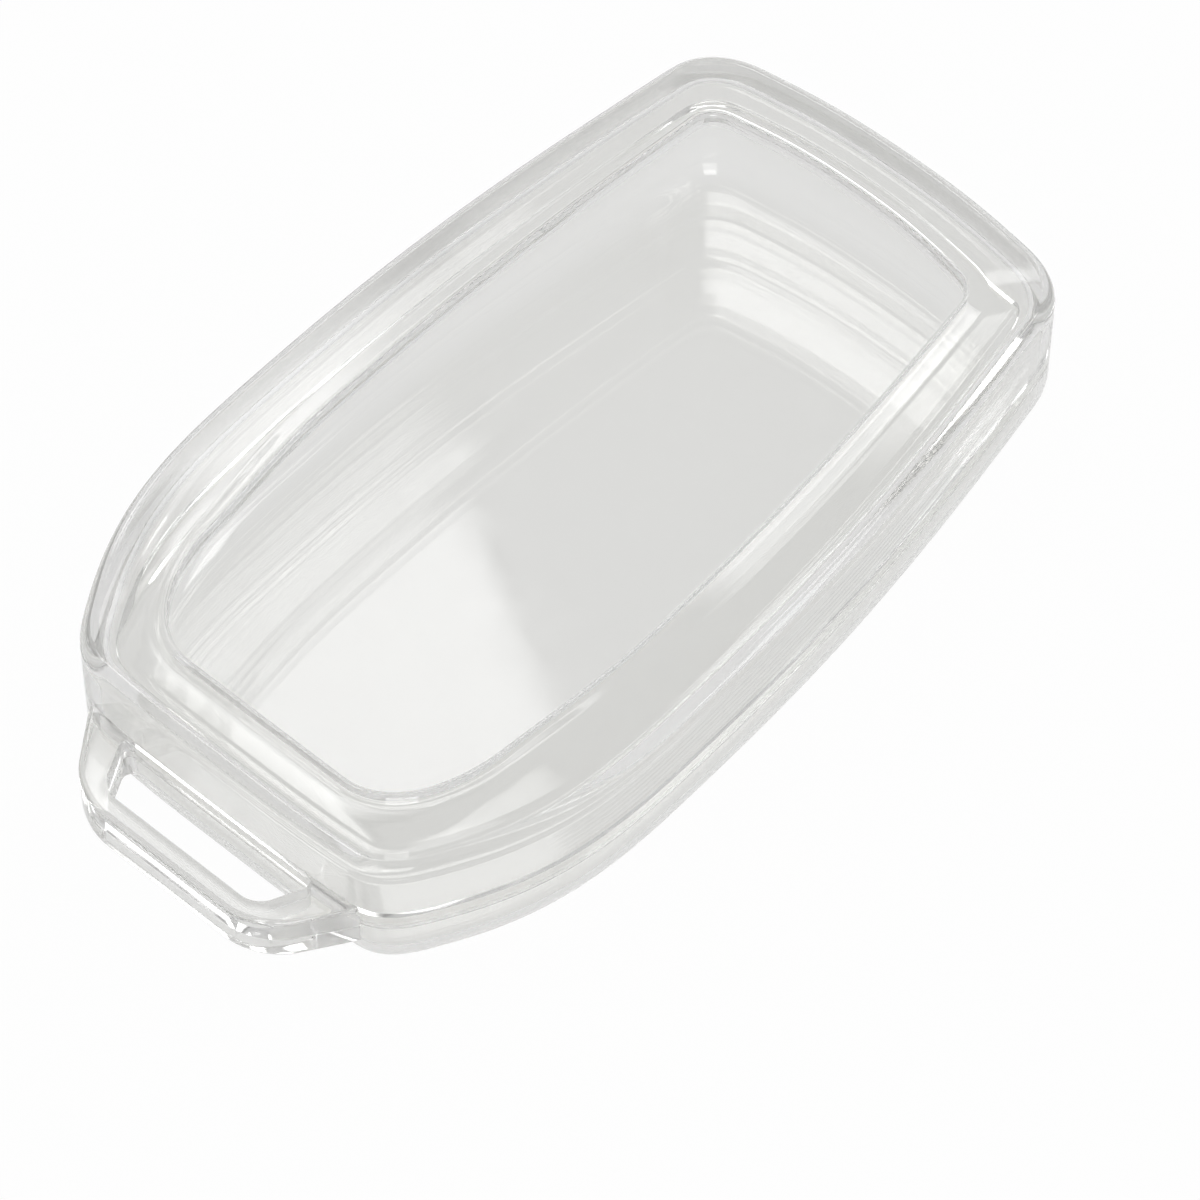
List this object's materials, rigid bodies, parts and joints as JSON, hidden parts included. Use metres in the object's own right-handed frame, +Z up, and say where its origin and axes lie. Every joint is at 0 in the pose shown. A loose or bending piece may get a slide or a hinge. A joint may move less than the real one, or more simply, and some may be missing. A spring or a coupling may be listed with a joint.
{
  "type": "key fob cover",
  "caption": "Clear hard plastic cover for a car key fob: a back shell and a windowed front shell that press together, with a strap loop at one end.",
  "frame": {"origin": "centre of the overall box in X and Y, on the flat underside of the back shell", "axes": "+Y to the far end, with the strap loop at -Y; +X to the right, seen from the front; +Z up, out of the window"},
  "size_m": [0.046, 0.0843, 0.015],
  "materials": {
    "back_clear_plastic": "water-clear moulded plastic, polished inside and out",
    "front_clear_plastic": "water-clear moulded plastic, polished inside and out"
  },
  "bodies": {
    "back": {"back_shell": "back_clear_plastic"},
    "front": {"front_shell": "front_clear_plastic"}
  },
  "joints": [
    {"name": "front_lift_off", "type": "slide", "parent": "back", "child": "front", "axis": [0, 0, 1], "range_m": [0, 0.02]}
  ]
}
